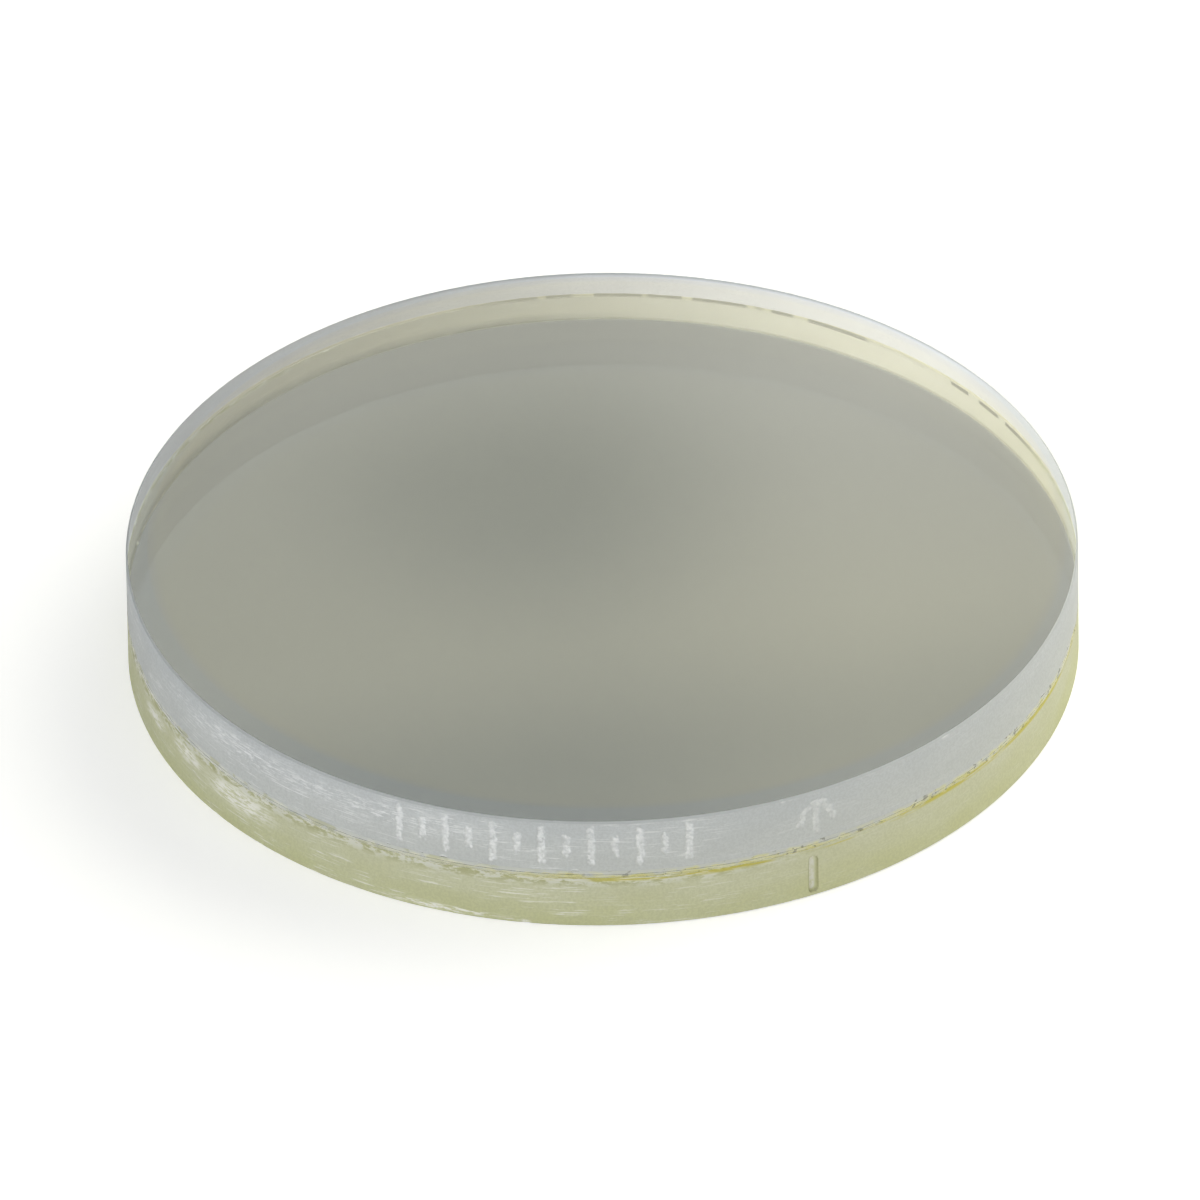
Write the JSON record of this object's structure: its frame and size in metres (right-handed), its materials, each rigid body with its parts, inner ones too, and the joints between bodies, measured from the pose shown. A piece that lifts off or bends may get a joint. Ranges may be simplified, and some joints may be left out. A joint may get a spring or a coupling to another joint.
{
  "type": "circular polarizer",
  "caption": "Round cemented optic: a polarizer film and a quarter-wave film laminated between two glass windows with a ground rim.",
  "frame": {"origin": "centre of the lower window's outer face, on which the optic lies", "axes": "+Z along the optical axis, from the lower window (polarizer side) to the upper window (retarder side); -Y is the front of the rim, and the axis mark is 25.5 degrees from it towards +X"},
  "size_m": [0.0254, 0.0254, 0.0034],
  "materials": {
    "lower_glass": "polished faces, ground khaki-tinted rim",
    "cement": "clear pale yellow cement",
    "polarizer": "smooth olive-grey film",
    "retarder": "smooth clear polymer film",
    "upper_glass": "polished faces, ground frosted rim"
  },
  "bodies": {
    "root": {"lower_window": "lower_glass", "lower_cement": "cement", "polarizer_film": "polarizer", "middle_cement": "cement", "retarder_film": "retarder", "upper_cement": "cement", "upper_window": "upper_glass"}
  },
  "joints": []
}
